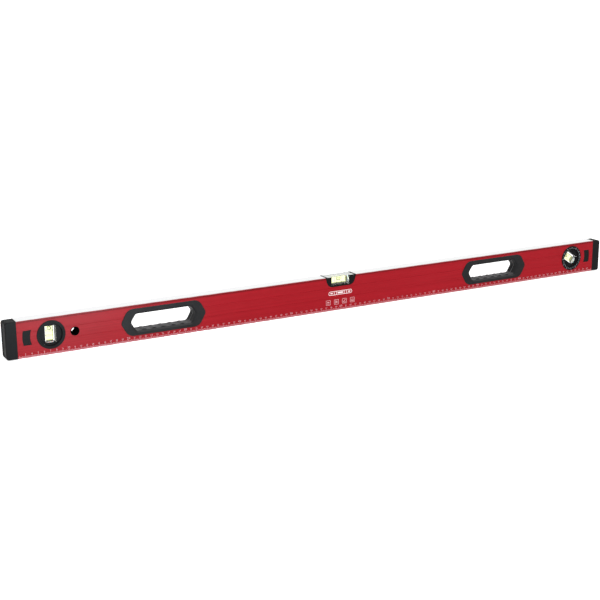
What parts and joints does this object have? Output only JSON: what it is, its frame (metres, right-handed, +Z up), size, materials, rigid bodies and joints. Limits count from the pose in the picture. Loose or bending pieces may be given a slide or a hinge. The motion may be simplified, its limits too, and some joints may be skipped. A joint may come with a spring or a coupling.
{
  "type": "spirit level",
  "caption": "Long box-section spirit level with a plumb vial, a centre vial in a top notch, a vial that turns to any angle, lined hand grips, end caps and a hanging hole.",
  "frame": {"origin": "middle of the bottom working face", "axes": "+X along the level towards the vial that turns, +Z up from the bottom working face, the side with the scale faces -Y"},
  "size_m": [1.2, 0.026, 0.062],
  "materials": {
    "red_frame": "red powder coat on extruded aluminium, bare milled working faces",
    "cap_rubber": "fine matt texture",
    "grip_plastic": "satin moulded",
    "holder_plastic": "semi-gloss moulded",
    "clear_block": "polished clear acrylic",
    "stopper_plastic": "milky acrylic",
    "liquid": "clear fluorescent yellow-green liquid",
    "bubble": "clear",
    "reading_lines": "printed",
    "reflector": "bright matt film",
    "screw_steel": "zinc plated"
  },
  "bodies": {
    "level": {"centre_vial_block": "clear_block", "centre_vial_housing": "holder_plastic", "centre_vial_lines": "reading_lines", "centre_vial_liquid": "liquid", "centre_vial_reflector": "reflector", "centre_vial_screws": "screw_steel", "centre_vial_stopper": "stopper_plastic", "frame_profile": "red_frame", "hang_hole_front_bush": "grip_plastic", "hang_hole_rear_bush": "grip_plastic", "left_end_cap": "cap_rubber", "left_grip_front_liner": "grip_plastic", "left_grip_rear_liner": "grip_plastic", "plumb_vial_block": "clear_block", "plumb_vial_front_shell": "holder_plastic", "plumb_vial_lines": "reading_lines", "plumb_vial_liquid": "liquid", "plumb_vial_rear_shell": "holder_plastic", "plumb_vial_screws": "screw_steel", "plumb_vial_stopper": "stopper_plastic", "right_end_cap": "cap_rubber", "right_grip_front_liner": "grip_plastic", "right_grip_rear_liner": "grip_plastic", "turning_vial_front_ring": "holder_plastic", "turning_vial_rear_ring": "holder_plastic"},
    "turning_vial": {"turning_vial_block": "clear_block", "turning_vial_front_rotor": "holder_plastic", "turning_vial_lines": "reading_lines", "turning_vial_liquid": "liquid", "turning_vial_rear_rotor": "holder_plastic", "turning_vial_screws": "screw_steel", "turning_vial_stopper": "stopper_plastic"},
    "plumb_bubble": {"plumb_vial_bubble": "bubble"},
    "centre_bubble": {"centre_vial_bubble": "bubble"},
    "turning_bubble": {"turning_vial_bubble": "bubble"}
  },
  "joints": [
    {"name": "turning_vial_turn", "type": "hinge", "parent": "level", "child": "turning_vial", "pos_m": [0.5277, 0, 0.033], "axis": [0, -1, 0], "continuous": true},
    {"name": "centre_bubble_slide", "type": "slide", "parent": "level", "child": "centre_bubble", "axis": [1, 0, 0], "range_m": [-0.008, 0.008], "stiffness_N_per_m": 2},
    {"name": "plumb_bubble_slide", "type": "slide", "parent": "level", "child": "plumb_bubble", "axis": [0, 0, -1], "range_m": [0, 0.0148], "stiffness_N_per_m": 2, "springref_m": -0.005},
    {"name": "turning_bubble_slide", "type": "slide", "parent": "turning_vial", "child": "turning_bubble", "axis": [0.829, 0, -0.5592], "range_m": [0, 0.0108], "stiffness_N_per_m": 2, "springref_m": -0.005}
  ]
}
